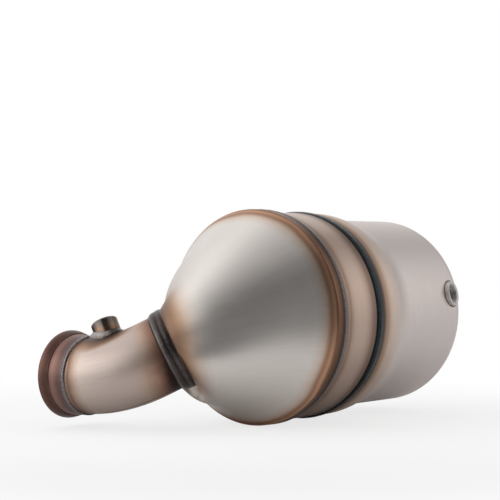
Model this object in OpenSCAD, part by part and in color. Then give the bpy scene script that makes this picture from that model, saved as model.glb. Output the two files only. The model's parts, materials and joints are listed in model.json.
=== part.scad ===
// Diesel particulate filter, with its oxidation catalyst ahead of it in one welded steel can.
// Exhaust gas comes in at a clamp flange, turns through an elbow and spreads in an off-centre cone
// over the catalyst brick. The filter brick behind it holds the soot, and a pipe stub leads out.
// Frame: the origin is the centre of the inlet flange's face, which faces +Y. The can lies along +X.

/* [Inlet pipe] */
// Outside diameter of the inlet pipe
pipe_d = 63.5; // [54:0.5:70]
// Wall of the inlet pipe
pipe_wall = 1.5; // [1:0.1:2.5]
// Radius of the bend at the pipe's centre line
bend_r = 74; // [70:1:110]
// Angle that the pipe turns through
bend_angle = 46; // [40:1:60]
// Roll of the bend's plane about the flange's axis
bend_roll = 38; // [20:1:45]
// Straight length between the bend and the cone's collar
neck_run = 21; // [12:0.5:40]
// Length of pipe inside the cone's collar
neck_lap = 3; // [2:0.5:4]

/* [Inlet flange] */
// Outside diameter of the flange's rim
flange_d = 73.2; // [70:0.2:90]
// Length of the flange along the pipe
flange_depth = 23; // [18:0.5:35]
// Width of the rim's straight edge
rim_land = 2; // [1:0.5:4]
// Length of the sloped back that the clamp grips
grip_len = 7.5; // [5:0.5:10]
// How far the sloped back falls toward the hub
grip_fall = 2.2; // [1:0.1:2.5]
// Height of the hub over the pipe beside the rim
hub_rise = 1.9; // [1.5:0.1:2.2]
// Height of the hub over the pipe at its welded end
hub_end_rise = 1; // [0.6:0.1:1.4]

/* [Inlet cone] */
// Distance along the can from the collar's end to the cone's rim
cone_len = 69.8; // [60:0.2:110]
// Sideways distance of the collar from the can's axis
cone_side = 31; // [10:0.5:35]
// Distance of the collar below the can's axis
cone_drop = 24.5; // [10:0.5:35]
// Sheet thickness of the cone
cone_wall = 2; // [1.5:0.1:3]
// Length of the straight collar around the pipe
collar_len = 4; // [4:0.5:8]
// Length of the straight socket over the catalyst shell
socket_len = 8; // [5:0.5:12]
// How far the cone runs straight on from its socket before it leans over
rim_pull = 33; // [20:1:45]
// How far the cone runs straight on from its collar before it opens
neck_pull = 2; // [1:0.5:12]
// Fullness of the dome beside the socket
rim_fullness = 0.46; // [0.4:0.01:0.7]
// Fullness of the dome beside the collar
neck_fullness = 0.44; // [0.3:0.01:0.6]
// How late the sections lean over toward the collar
late_lean = 1.9; // [1:0.1:2.5]

/* [Can] */
// Outside diameter of the catalyst shell
doc_shell_d = 176; // [172:1:190]
// Outside diameter of the filter shell behind its taper
dpf_shell_d = 165; // [160:1:170]
// Sheet thickness of both shells
shell_wall = 1.5; // [1.2:0.1:2.5]
// Distance from the cone's rim to the joint of the two shells
doc_len = 53; // [50:1:80]
// Length of the filter shell's wide front end
flare_len = 25; // [15:1:40]
// Length of the taper behind it
taper_len = 26; // [15:1:40]
// Length of the filter shell's cylinder up to the shoulder
barrel_len = 76; // [74:1:140]
// Radius of the rear shoulder
shoulder_r = 18; // [10:1:24]
// Slope of the end wall inside the shoulder
end_slope = 20; // [10:1:35]

/* [Outlet] */
// Outside diameter of the outlet pipe
outlet_d = 54; // [45:0.5:60]
// Wall of the outlet pipe
outlet_wall = 1.5; // [1:0.1:2.5]
// Length of the end wall's collar around the outlet pipe
outlet_collar = 10; // [8:0.5:16]
// Free length of the outlet pipe
outlet_len = 28; // [20:1:60]
// How much less the radius of the outlet pipe's sized end is
sized_step = 0.5; // [0.3:0.1:1.5]

/* [Sensor bosses] */
// Outside diameter of a sensor boss
boss_d = 22.5; // [21:0.5:23]
// Thread bore of a sensor boss, before tapping
port_d = 16.5; // [10:0.5:17]
// Depth of the front boss's thread bore, down to the sensor's seat
front_thread = 9.5; // [7:0.5:11]
// Hole for the sensor's tip, through the front boss and the pipe
tip_d = 12; // [6:0.5:14]
// Clear space between the front boss's weld and the flange's weld
front_port_gap = 0.5; // [0.5:0.5:6]
// Turn of the front boss around the pipe, from the inside of the bend
front_port_turn = 45; // [20:1:90]
// Lean of the front boss toward the flange
front_port_lean = 11; // [0:1:12]
// Height of the front boss over the pipe
front_port_rise = 14; // [10:0.5:20]
// Distance of the rear boss ahead of the shoulder
rear_port_back = 4; // [3:0.5:10]
// Angle of the rear boss above the horizontal
rear_port_up = 12; // [0:1:60]
// Lean of the rear boss toward the outlet
rear_port_lean = 10; // [0:1:12]
// Height of the rear boss over the shell
rear_port_rise = 2; // [1.5:0.5:6]
// Depth of the rear boss inside the shell
rear_port_depth = 8; // [5:0.5:10]

/* [Bricks] */
// Thickness of the fibre mat around the catalyst brick
doc_mat_t = 4; // [2:0.5:6]
// Thickness of the fibre mat around the filter brick
dpf_mat_t = 5; // [2:0.5:6]
// Length of the catalyst brick
doc_brick_len = 48; // [30:1:50]
// Length of the filter brick
dpf_brick_len = 86; // [60:1:88]
// Distance that a brick stands out of its mat at each end
brick_overhang = 4; // [2:0.5:8]
// Clear space between the filter brick and the rear boss
brick_clear = 4; // [2:0.5:10]
// Pitch of the catalyst's cells
doc_cell_pitch = 11; // [10:0.5:16]
// Pitch of the filter's segments
segment_pitch = 36; // [30:1:40]
// Cells along one side of a filter segment
segment_cells = 3; // [2:1:4]
// Wall between cells
cell_wall = 1.6; // [1.2:0.1:2.5]
// Thickness of the cement between segments and around them
cement_t = 1; // [0.6:0.1:2]
// Depth of the plugs that close the filter's cells
plug_len = 8; // [5:1:15]

/* [Welds] */
// Length of the weld at the flange
flange_bead = 3.5; // [2:0.5:4]
// Length of the weld at the cone's collar
neck_bead = 8; // [5:0.5:10]
// Length of the weld at the cone's rim
rim_bead = 6; // [4:0.5:9]
// Width of the weld between the shells
shell_bead = 10; // [6:0.5:14]
// Height of that weld's crown
shell_crown = 1.3; // [0.8:0.1:2]
// Length of the weld at the outlet collar
outlet_bead = 4; // [3:0.5:6]
// Leg of the fillet weld around the front boss
boss_leg = 1.8; // [1:0.1:2.2]
// Width of the weld around the rear boss
rear_leg = 1.6; // [1:0.2:3]
// Height that a fillet's crown swells over a flat fillet
crown = 0.8; // [0.4:0.1:1.2]

/* [Hidden] */

$fn = 96;
// Slip fit between pieces that slide together before they are welded
slip = 0.1;
// A cut runs this far past the face that it leaves
past = 1;
// The pipe's envelope runs on this many degrees past the flange's end
overrun = 2;
// Sides of the cone's sections, and steps between the socket and the collar
cone_sides = 64;
cone_steps = 16;
arc_steps = 10;

pipe_r = pipe_d / 2;
outlet_r = outlet_d / 2;
doc_r = doc_shell_d / 2;
dpf_r = dpf_shell_d / 2;
boss_r = boss_d / 2;
port_r = port_d / 2;
tip_r = tip_d / 2;
front_port_top = pipe_r + front_port_rise;
front_seat_at = front_port_top - front_thread;
// A polygon with these corners clears the circle inside it
facet = 1 / cos(180 / cone_sides);

// Place of the front boss in degrees along the bend: its weld ends a named gap from the flange's weld
front_port_run = flange_bead + front_port_gap + boss_leg + boss_r / cos(front_port_lean)
    + pipe_r * tan(front_port_lean);
front_port_at = 180 / PI * front_port_run / (bend_r - pipe_r * cos(front_port_turn));

// Where the elbow's centre line ends, at the end face of the cone's collar
neck_in = bend_r * (1 - cos(bend_angle)) + neck_run * sin(bend_angle);
neck_back = flange_depth + bend_r * sin(bend_angle) + neck_run * cos(bend_angle);
neck_at = [neck_in * cos(bend_roll), -neck_back, neck_in * sin(bend_roll)];
// Direction of the pipe as it leaves the collar
neck_dir = [-sin(bend_angle) * cos(bend_roll), cos(bend_angle), -sin(bend_angle) * sin(bend_roll)];
rim_at = neck_at + [cone_len, -cone_side, cone_drop];

collar_in = (pipe_r + slip) * facet;
collar_out = collar_in + cone_wall;
socket_in = (doc_r + slip) * facet;
socket_out = socket_in + cone_wall;

// Stations along the can, from the cone's rim
taper_at = doc_len + flare_len;
barrel_at = taper_at + taper_len;
shoulder_at = barrel_at + barrel_len;
rear_port_x = shoulder_at - rear_port_back;
outlet_collar_r = outlet_r + slip + shell_wall;
wall_start = [dpf_r - shoulder_r + shoulder_r * sin(end_slope),
    shoulder_at + shoulder_r * cos(end_slope)];
collar_at = wall_start[1] + (wall_start[0] - outlet_collar_r) * tan(end_slope);
collar_end = collar_at + outlet_collar;
// The outlet pipe, from its inner end: it keeps its full size through the weld, then steps down
sized_r = outlet_r - sized_step;
sized_from = outlet_collar + outlet_bead + outlet_wall;
sized_at = sized_from + 2 * sized_step;
outlet_end = outlet_collar + outlet_len;

doc_brick_r = doc_r - shell_wall - doc_mat_t;
dpf_brick_r = dpf_r - shell_wall - dpf_mat_t;
doc_brick_x = (doc_len - socket_len) / 2 - doc_brick_len / 2;
dpf_brick_end = rear_port_x - boss_r - brick_clear;
dpf_brick_x = dpf_brick_end - dpf_brick_len;
dpf_mat_x = max(barrel_at, dpf_brick_x + brick_overhang);

function bezier(p, s) = pow(1 - s, 3) * p[0] + 3 * pow(1 - s, 2) * s * p[1]
    + 3 * (1 - s) * s * s * p[2] + pow(s, 3) * p[3];
function unit(v) = v / norm(v);

// The can's own axis, with z along +X from the cone's rim
module on_can(x = 0) translate(rim_at + [x, 0, 0]) rotate([0, 90, 0]) children();
// The flange's axis, with z along +Y out of its face
module on_flange() rotate([-90, 0, 0]) children();
// The bend's centre, turned so that the pipe leaves the flange along +Y and curls toward -X
module on_bend(a = 0) rotate([0, -bend_roll, 0]) translate([bend_r, -flange_depth, 0])
    rotate([180, 0, 180 + a]) children();
// A point along the bend: x away from the bend's centre, y back along the pipe toward the flange
module on_pipe(a) on_bend(a) translate([bend_r, 0, 0]) children();
// The collar's end, with z back along the pipe toward the flange
module on_neck() on_pipe(bend_angle) translate([0, -neck_run, 0]) rotate([-90, 0, 0]) children();

module tube(r, wall, len) difference() {
    cylinder(r = r, h = len);
    translate([0, 0, -past]) cylinder(r = r - wall, h = len + 2 * past);
}

// Fillet bead on a pipe: it fills the corner between the pipe and an edge at z = 0
module bead(r, edge, len) {
    swell = [for (i = [0 : arc_steps]) let (s = i / arc_steps)
        pow(1 - s, 2) * [edge, 0] + 2 * s * (1 - s) * [edge + crown, 0.6 * len] + s * s * [r, len]];
    rotate_extrude() polygon(concat([[r, 0]], swell));
}

// The pipe's outside as one solid, for what sits on it; it runs on past the flange's end
module pipe_solid(grow = 0) on_bend(bend_angle) {
    rotate_extrude(angle = bend_angle + overrun) translate([bend_r, 0]) circle(r = pipe_r + grow);
    translate([bend_r, 0, 0]) rotate([90, 0, 0]) cylinder(r = pipe_r + grow, h = neck_run);
}

module inlet_flange() color([0.36, 0.25, 0.22]) on_flange() difference() {
    rim_r = flange_d / 2;
    rotate_extrude() polygon([[0, 0], [rim_r, 0], [rim_r, -rim_land],
        [rim_r - grip_fall, -rim_land - grip_len],
        [pipe_r + hub_rise, -rim_land - grip_len],
        [pipe_r + hub_end_rise, -flange_depth], [0, -flange_depth]]);
    translate([0, 0, -flange_depth - past])
        cylinder(r = pipe_r - pipe_wall, h = flange_depth + 2 * past);
}

module flange_weld() color([0.42, 0.43, 0.44]) difference() {
    translate([0, -flange_depth, 0]) rotate([90, 0, 0])
        bead(pipe_r - pipe_wall / 2, pipe_r + hub_end_rise, flange_bead);
    pipe_solid();
}

module front_port() on_pipe(front_port_at) rotate([0, 270 - front_port_turn, 0])
    rotate([-front_port_lean, 0, 0]) children();

module inlet_elbow() color([0.68, 0.64, 0.61]) {
    on_bend(bend_angle) translate([bend_r, 0, 0]) rotate([90, 0, 0])
        tube(pipe_r, pipe_wall, neck_run + neck_lap);
    difference() {
        on_bend(bend_angle) rotate_extrude(angle = bend_angle) translate([bend_r, 0]) difference() {
            circle(r = pipe_r);
            circle(r = pipe_r - pipe_wall);
        }
        front_port() cylinder(r = tip_r, h = front_port_top);
    }
}

// Thread bore with a conical seat, and the hole for the sensor's tip below it
module front_sensor_boss() color([0.55, 0.46, 0.40]) difference() {
    front_port() cylinder(r = boss_r, h = front_port_top);
    pipe_solid();
    front_port() rotate_extrude() polygon([[0, 0], [tip_r, 0], [tip_r, front_seat_at - port_r + tip_r],
        [port_r, front_seat_at], [port_r, front_port_top + past], [0, front_port_top + past]]);
}

module front_boss_weld() color([0.35, 0.35, 0.36]) difference() {
    intersection() {
        front_port() cylinder(r = boss_r + boss_leg, h = front_port_top);
        pipe_solid(boss_leg);
    }
    pipe_solid();
    front_port() cylinder(r = boss_r, h = front_port_top + past);
}

module neck_weld() color([0.27, 0.26, 0.26]) on_neck() bead(pipe_r, collar_out, neck_bead);

// One ring of points around a centre, square to a direction
function ring(c, dir, r) = let (n = unit(dir), u = unit(cross([0, 0, 1], n)), v = cross(n, u))
    [for (i = [0 : cone_sides - 1]) let (a = 360 * i / cone_sides) c + r * (cos(a) * u + sin(a) * v)];

// Rings of the cone's skin from the rim to the collar's end
function cone_rings(r_rim, r_neck) =
    let (socket = rim_at - [socket_len, 0, 0],
        collar = neck_at - collar_len * neck_dir,
        path = [socket, socket - [rim_pull, 0, 0], collar - neck_pull * neck_dir, collar],
        fullness = [1, rim_fullness, neck_fullness, 0])
    concat([ring(rim_at, [-1, 0, 0], r_rim)],
        [for (i = [0 : cone_steps])
            let (s = i / cone_steps, t = pow(s, late_lean), lean = t * t * (3 - 2 * t))
            ring(bezier(path, s), (1 - lean) * [-1, 0, 0] + lean * neck_dir,
                r_neck + (r_rim - r_neck) * bezier(fullness, s))],
        [ring(neck_at, neck_dir, r_neck)]);

// A sheet between an outer and an inner skin of rings
module skin(outer, inner) {
    rows = len(outer);
    n = len(outer[0]);
    points = concat([for (row = outer) each row], [for (row = inner) each row]);
    function at(side, k, i) = (side * rows + k) * n + (i % n);
    // Two triangles between the corners a, b and the next corners c, d
    function pair(a, b, c, d) = [[a, b, c], [c, b, d]];
    out = [for (k = [0 : rows - 2]) for (i = [0 : n - 1])
        each pair(at(0, k, i), at(0, k + 1, i), at(0, k, i + 1), at(0, k + 1, i + 1))];
    in = [for (k = [0 : rows - 2]) for (i = [0 : n - 1])
        each pair(at(1, k, i + 1), at(1, k + 1, i + 1), at(1, k, i), at(1, k + 1, i))];
    first = [for (i = [0 : n - 1])
        each pair(at(0, 0, i), at(0, 0, i + 1), at(1, 0, i), at(1, 0, i + 1))];
    last = [for (i = [0 : n - 1])
        each pair(at(0, rows - 1, i), at(1, rows - 1, i), at(0, rows - 1, i + 1), at(1, rows - 1, i + 1))];
    polyhedron(points, concat(out, in, first, last));
}

module inlet_cone() color([0.72, 0.68, 0.65])
    skin(cone_rings(socket_out, collar_out), cone_rings(socket_in, collar_in));

module cone_weld() color([0.40, 0.40, 0.42]) on_can() bead(doc_r, socket_out, rim_bead);

module doc_shell() color([0.72, 0.64, 0.58]) on_can(-socket_len)
    tube(doc_r, shell_wall, doc_len + socket_len);

module doc_mat() color([0.85, 0.83, 0.78]) on_can(doc_brick_x + brick_overhang)
    tube(doc_r - shell_wall - slip, doc_mat_t - 2 * slip, doc_brick_len - 2 * brick_overhang);

// Square cells on a grid that stay inside a circle
module cells(pitch, r) {
    n = floor(r / pitch);
    open = pitch - cell_wall;
    for (i = [-n : n]) for (j = [-n : n])
        if (norm([abs(i) * pitch + open / 2, abs(j) * pitch + open / 2]) < r - cell_wall)
            translate([i * pitch, j * pitch]) square(open, center = true);
}

module doc_brick() color([0.78, 0.74, 0.66]) on_can(doc_brick_x)
linear_extrude(doc_brick_len) difference() {
    circle(r = doc_brick_r);
    cells(doc_cell_pitch, doc_brick_r);
}

module shell_weld() color([0.16, 0.17, 0.17]) on_can(doc_len) rotate_extrude()
    polygon([for (i = [0 : arc_steps]) let (s = 2 * i / arc_steps - 1)
        [doc_r + shell_crown * (1 - s * s), s * shell_bead / 2]]);

// Outline of the filter shell as [radius, station], moved off the outer face by a distance
function shell_outline(off) = concat(
    [[doc_r + off, doc_len]],
    [for (i = [0 : arc_steps]) let (s = i / arc_steps)
        [dpf_r + off + (doc_r - dpf_r) * (1 + cos(180 * s)) / 2, taper_at + taper_len * s]],
    [for (i = [0 : arc_steps]) let (a = 90 - (90 - end_slope) * i / arc_steps)
        [dpf_r - shoulder_r + (shoulder_r + off) * sin(a), shoulder_at + (shoulder_r + off) * cos(a)]],
    [[outlet_collar_r + off, collar_at + off / cos(end_slope)], [outlet_collar_r + off, collar_end]]);

module shell_solid(off = 0) on_can() rotate_extrude()
    polygon(concat([[0, doc_len]], shell_outline(off), [[0, collar_end]]));

module rear_port() translate(rim_at + [rear_port_x, 0, 0]) rotate([90 - rear_port_up, 0, 0])
    translate([0, 0, dpf_r]) rotate([0, rear_port_lean, 0]) children();

module dpf_shell() color([0.71, 0.68, 0.66]) difference() {
    outer = shell_outline(0);
    inner = shell_outline(-shell_wall);
    on_can() rotate_extrude()
        polygon(concat(outer, [for (i = [len(inner) - 1 : -1 : 0]) inner[i]]));
    rear_port() translate([0, 0, -rear_port_depth - past])
        cylinder(r = boss_r + slip, h = rear_port_depth + rear_port_rise + 2 * past);
}

module dpf_mat() color([0.86, 0.84, 0.80]) on_can(dpf_mat_x)
    tube(dpf_r - shell_wall - slip, dpf_mat_t - 2 * slip, dpf_brick_end - brick_overhang - dpf_mat_x);

// The filter's segments in section, cut to the round of the brick inside its cement coat
module segment_squares() intersection() {
    circle(r = dpf_brick_r - cement_t);
    n = ceil(dpf_brick_r / segment_pitch);
    for (i = [-n : n - 1]) for (j = [-n : n - 1])
        translate([(i + 0.5) * segment_pitch, (j + 0.5) * segment_pitch])
            square(segment_pitch - cement_t, center = true);
}

// Every second cell of the filter's segments: odd cells open to the front, even ones to the rear
module segment_cell_grid(odd) {
    side = segment_pitch - cement_t - cell_wall;
    pitch = side / segment_cells;
    open = pitch - cell_wall;
    n = ceil(dpf_brick_r / segment_pitch) * segment_cells;
    // Centre of the cell with this number, counted from the brick's middle
    function place(i) = let (k = floor(i / segment_cells))
        (k + 0.5) * segment_pitch + (i - k * segment_cells - (segment_cells - 1) / 2) * pitch;
    for (i = [-n : n - 1]) for (j = [-n : n - 1]) {
        x = place(i);
        y = place(j);
        fits = norm([abs(x) + open / 2, abs(y) + open / 2]) < dpf_brick_r - cement_t - cell_wall;
        if (fits && (abs(i + j) % 2 == (odd ? 1 : 0)))
            translate([x, y]) square(open, center = true);
    }
}

module dpf_segments() color([0.33, 0.34, 0.35]) on_can(dpf_brick_x) difference() {
    linear_extrude(dpf_brick_len) segment_squares();
    translate([0, 0, -past]) linear_extrude(dpf_brick_len - plug_len + past) segment_cell_grid(true);
    translate([0, 0, plug_len]) linear_extrude(dpf_brick_len - plug_len + past) segment_cell_grid(false);
}

module dpf_cement() color([0.55, 0.54, 0.52]) on_can(dpf_brick_x)
linear_extrude(dpf_brick_len) difference() {
    circle(r = dpf_brick_r);
    segment_squares();
}

module rear_sensor_boss() color([0.60, 0.58, 0.56]) rear_port() difference() {
    translate([0, 0, -rear_port_depth]) cylinder(r = boss_r, h = rear_port_depth + rear_port_rise);
    translate([0, 0, -rear_port_depth - past])
        cylinder(r = port_r, h = rear_port_depth + rear_port_rise + 2 * past);
}

module rear_boss_weld() color([0.30, 0.29, 0.28]) difference() {
    intersection() {
        rear_port() translate([0, 0, -rear_port_depth])
            cylinder(r = boss_r + rear_leg, h = 2 * rear_port_depth);
        shell_solid(rear_leg / 2);
    }
    shell_solid();
    rear_port() translate([0, 0, -2 * rear_port_depth]) cylinder(r = boss_r, h = 4 * rear_port_depth);
}

module outlet_pipe() color([0.66, 0.63, 0.61]) on_can(collar_at) rotate_extrude()
    polygon([[outlet_r - outlet_wall, 0], [outlet_r, 0], [outlet_r, sized_from],
        [sized_r, sized_at], [sized_r, outlet_end], [sized_r - outlet_wall, outlet_end],
        [sized_r - outlet_wall, sized_at], [outlet_r - outlet_wall, sized_from]]);

module outlet_weld() color([0.42, 0.42, 0.43]) on_can(collar_end)
    bead(outlet_r, outlet_collar_r, outlet_bead);

inlet_flange();
flange_weld();
inlet_elbow();
front_sensor_boss();
front_boss_weld();
neck_weld();
inlet_cone();
cone_weld();
doc_shell();
doc_mat();
doc_brick();
shell_weld();
dpf_shell();
dpf_mat();
dpf_cement();
dpf_segments();
rear_sensor_boss();
rear_boss_weld();
outlet_pipe();
outlet_weld();
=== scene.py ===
import bpy
import bmesh
import json
import math
from mathutils import Matrix, Vector, noise


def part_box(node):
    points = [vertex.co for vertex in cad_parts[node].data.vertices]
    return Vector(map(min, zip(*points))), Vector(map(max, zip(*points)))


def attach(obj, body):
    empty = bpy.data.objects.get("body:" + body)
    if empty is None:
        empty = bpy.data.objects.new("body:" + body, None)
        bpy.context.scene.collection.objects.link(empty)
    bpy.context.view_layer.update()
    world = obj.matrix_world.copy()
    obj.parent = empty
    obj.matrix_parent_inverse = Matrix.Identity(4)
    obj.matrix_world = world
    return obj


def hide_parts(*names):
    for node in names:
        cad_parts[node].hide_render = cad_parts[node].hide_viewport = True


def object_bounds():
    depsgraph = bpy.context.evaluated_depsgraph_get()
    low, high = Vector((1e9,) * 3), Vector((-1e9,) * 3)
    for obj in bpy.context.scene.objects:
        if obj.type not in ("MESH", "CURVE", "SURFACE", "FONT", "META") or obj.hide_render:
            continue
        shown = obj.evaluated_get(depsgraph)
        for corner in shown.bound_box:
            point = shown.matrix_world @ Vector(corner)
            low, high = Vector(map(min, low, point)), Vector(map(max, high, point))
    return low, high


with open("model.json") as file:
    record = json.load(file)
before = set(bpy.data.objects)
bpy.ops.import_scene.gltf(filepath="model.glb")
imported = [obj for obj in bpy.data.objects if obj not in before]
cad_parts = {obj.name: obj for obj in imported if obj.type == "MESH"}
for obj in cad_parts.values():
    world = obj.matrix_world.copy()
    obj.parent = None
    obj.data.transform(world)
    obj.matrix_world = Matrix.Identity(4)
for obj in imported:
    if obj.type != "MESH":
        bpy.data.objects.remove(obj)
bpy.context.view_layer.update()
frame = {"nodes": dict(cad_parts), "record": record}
mounts = {m["name"]: m for m in frame["record"]["mounts"]}
mm = 0.001
print("frame loaded:", len(frame["nodes"]), "nodes")


# the can's axis and its stations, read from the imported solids
ringLow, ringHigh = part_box("doc_shell")
rimCentre = Vector((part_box("cone_weld")[0].x, (ringLow.y + ringHigh.y) / 2, (ringLow.z + ringHigh.z) / 2))
onCan = Matrix.Translation(rimCentre) @ Matrix.Rotation(math.radians(90), 4, "Y")  # local z: along the can
onFlange = Matrix.Rotation(math.radians(-90), 4, "X")  # local z runs out of the flange's face
ringRadius = (ringHigh.z - ringLow.z) / 2 / mm
jointAt = (ringHigh.x - rimCentre.x) / mm
outletEnd = (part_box("outlet_pipe")[1].x - rimCentre.x) / mm
canWay = Vector((1, 0, 0))
mergeGap = 1e-7  # metres
cornerGap = 1e-5
weldSharp = 60  # degrees
noiseLow, noiseHigh = 0.3, 0.7  # the range that a noise's values mostly keep to


def linear(code):  # sRGB hex to the linear colour that nodes take
    parts = [int(code[i:i + 2], 16) / 255 for i in (1, 3, 5)]
    return tuple(c / 12.92 if c <= 0.04045 else ((c + 0.055) / 1.055) ** 2.4 for c in parts) + (1,)


def ease(value, start, end):  # 0 at start, 1 at end, smooth between, either way round
    share = min(max((value - start) / (end - start), 0), 1)
    return share * share * (3 - 2 * share)


def shift(value, law):  # an amount that comes in between two values
    amount, start, end = law
    return amount * ease(value, start, end)


def headingWay(heading, rise=0):  # a direction, from degrees
    turn, climb = math.radians(heading), math.radians(rise)
    return Vector((math.cos(turn) * math.cos(climb), math.sin(turn) * math.cos(climb), math.sin(climb)))


def plug(tree, node, inputs):  # links sockets, or a node's first output, and sets plain values
    for name, value in inputs.items():
        if isinstance(value, bpy.types.Node):
            value = value.outputs[0]
        if isinstance(value, bpy.types.NodeSocket):
            tree.links.new(value, node.inputs[name])
        else:
            node.inputs[name].default_value = value


def addNode(tree, kind, inputs=None, stops=(), **settings):
    made = tree.nodes.new("ShaderNode" + kind)
    for name, value in settings.items():
        setattr(made, name, value)
    plug(tree, made, inputs or {})
    for i, (place, code) in enumerate(stops):  # a colour ramp's stops, the two ends first
        stop = made.color_ramp.elements[i] if i < 2 else made.color_ramp.elements.new(place)
        stop.position = place
        stop.color = linear(code)
    return made


def newMaterial(name):
    material = bpy.data.materials.new(name)
    material.use_nodes = True
    return material, material.node_tree, material.node_tree.nodes["Principled BSDF"]


def layered(tree, colour, *tints):  # lays tints over a colour, one after the other
    for tint in tints:
        colour = addNode(tree, "Mix", {
            0: 1.0, 6: colour, 7: tint}, data_type="RGBA", blend_type="MULTIPLY").outputs[2]
    return colour


def heatTint(tree, distance, tint):  # oxide colours along a distance that wanders a little, sizes in mm
    place = addNode(tree, "TexCoord")
    drift = addNode(tree, "TexNoise", {
        "Vector": place.outputs["Object"], "Detail": 3.0, "Scale": 1 / (tint["patch"] * mm)})
    sway = addNode(tree, "MapRange", {
        "Value": drift, "To Min": -tint["swing"] * mm, "To Max": tint["swing"] * mm})
    way = addNode(tree, "Math", {0: distance, 1: sway}, operation="ADD")
    share = addNode(tree, "MapRange", {
        "Value": way, "From Min": tint["from"] * mm, "From Max": tint["to"] * mm})
    return addNode(tree, "ValToRGB", {"Fac": share}, stops=tint["stops"])


# lines the way the metal was worked, drawn coarser than the real ones, which are too fine to show
def streaks(tree, vector, stretch, size, detail=2.0):
    drawn = addNode(tree, "Mapping", {"Vector": vector, "Scale": stretch})
    return addNode(tree, "TexNoise", {"Vector": drawn, "Scale": 1 / (size * mm), "Detail": detail})


def canStation(tree):  # distance along the can from the cone's rim
    place = addNode(tree, "TexCoord")
    moved = addNode(tree, "Mapping", {"Vector": place.outputs["Object"], "Location": -rimCentre})
    return addNode(tree, "SeparateXYZ", {"Vector": moved}).outputs["X"]


def metalFinish(tree, shader, colour, finish, marks, patches=None):  # relief from marks, gloss from either
    gloss = addNode(tree, "MapRange", {
        "Value": marks if patches is None else patches, "To Min": finish["smooth"],
        "To Max": finish["rough"]})
    relief = addNode(tree, "Bump", {
        "Height": marks, "Strength": finish["relief"], "Distance": finish["depth"] * mm})
    plug(tree, shader, {"Base Color": colour, "Roughness": gloss, "Normal": relief, "Metallic": 1.0})


def rolledSheet(name, steel, tint):  # rolled stainless: fine lines on it, and a heat tint along the can
    material, tree, shader = newMaterial(name)
    place = addNode(tree, "TexCoord")
    rolling = streaks(tree, place.outputs["Object"], steel["stretch"], steel["streak"])
    low, high = steel["tone"]
    tone = addNode(tree, "MapRange", {"Value": rolling, "To Min": low, "To Max": high})
    colour = layered(tree, heatTint(tree, canStation(tree), tint), tone)
    patches = None
    if "patch" in steel:
        patches = addNode(tree, "TexNoise", {
            "Vector": place.outputs["Object"], "Detail": 3.0, "Scale": 1 / (steel["patch"] * mm)})
    metalFinish(tree, shader, colour, steel, rolling, patches)
    return material


def finishPiece(bm, name, material, nodes, sharp=35):
    mesh = bpy.data.meshes.new(name)
    bm.to_mesh(mesh)
    bm.free()
    mesh.polygons.foreach_set("use_smooth", [True] * len(mesh.polygons))
    mesh.set_sharp_from_angle(angle=math.radians(sharp))
    mesh.materials.append(material)
    piece = bpy.data.objects.new(name, mesh)
    bpy.context.scene.collection.objects.link(piece)
    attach(piece, "root")
    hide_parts(*nodes)
    print("piece", name, len(mesh.polygons), "faces")
    return piece


def lathe(outline, steps, closed=False):  # outline of (radius, station) in mm, turned about local z
    bm = bmesh.new()
    corners = [bm.verts.new((r * mm, 0, z * mm)) for r, z in outline]
    for a, b in zip(corners, corners[1:]):
        bm.edges.new((a, b))
    if closed:
        bm.edges.new((corners[-1], corners[0]))
    bmesh.ops.spin(bm, geom=bm.verts[:] + bm.edges[:], cent=(0, 0, 0), axis=(0, 0, 1), angle=2 * math.pi,
                   steps=steps, use_merge=True)
    bmesh.ops.remove_doubles(bm, verts=bm.verts[:], dist=mergeGap)
    bmesh.ops.recalc_face_normals(bm, faces=bm.faces[:])
    return bm


def roundCorner(bm, radius, station, size, segments):  # bevels the lathe's ring at a corner of its outline
    ring = [e for e in bm.edges if all(abs(math.hypot(v.co.x, v.co.y) - radius * mm) < cornerGap
                                       and abs(v.co.z - station * mm) < cornerGap for v in e.verts)]
    bmesh.ops.bevel(bm, geom=ring, offset=size * mm, offset_type="OFFSET", affect="EDGES", segments=segments,
                    profile=0.5, material=-1)


def swollen(start, pull, end, steps):  # points of a bead's crown between its two toes
    share = [i / steps for i in range(steps + 1)]
    return [((1 - s) ** 2 * start[0] + 2 * s * (1 - s) * pull[0] + s * s * end[0],
             (1 - s) ** 2 * start[1] + 2 * s * (1 - s) * pull[1] + s * s * end[1]) for s in share]


def placed(bm, place):
    bmesh.ops.transform(bm, matrix=place, verts=bm.verts[:])
    return bm


def cutHole(piece, place, hole):  # opens a round hole in a finished piece
    bm = bmesh.new()
    middle = Matrix.Translation((0, 0, (hole["low"] + hole["high"]) / 2 * mm))
    bmesh.ops.create_cone(bm, cap_ends=True, segments=hole["sides"], radius1=hole["radius"] * mm,
                          radius2=hole["radius"] * mm, depth=(hole["high"] - hole["low"]) * mm,
                          matrix=place @ middle)
    mesh = bpy.data.meshes.new("holeCutter")
    bm.to_mesh(mesh)
    bm.free()
    cutter = bpy.data.objects.new("holeCutter", mesh)
    bpy.context.scene.collection.objects.link(cutter)
    modifier = piece.modifiers.new("hole", "BOOLEAN")
    modifier.operation = "DIFFERENCE"
    modifier.solver = "EXACT"
    modifier.object = cutter
    bpy.context.view_layer.update()
    cut = bpy.data.meshes.new_from_object(piece.evaluated_get(bpy.context.evaluated_depsgraph_get()))
    piece.modifiers.clear()
    piece.data = cut
    bpy.data.objects.remove(cutter)
    bpy.data.meshes.remove(mesh)


# the scale-like steps that a moving weld pool leaves, with lumps between them
pool = {"bow": 0.5, "wander": 0.9, "wanderPace": 9, "lump": 0.5, "lumpPace": 260, "step": 0.5}


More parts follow.
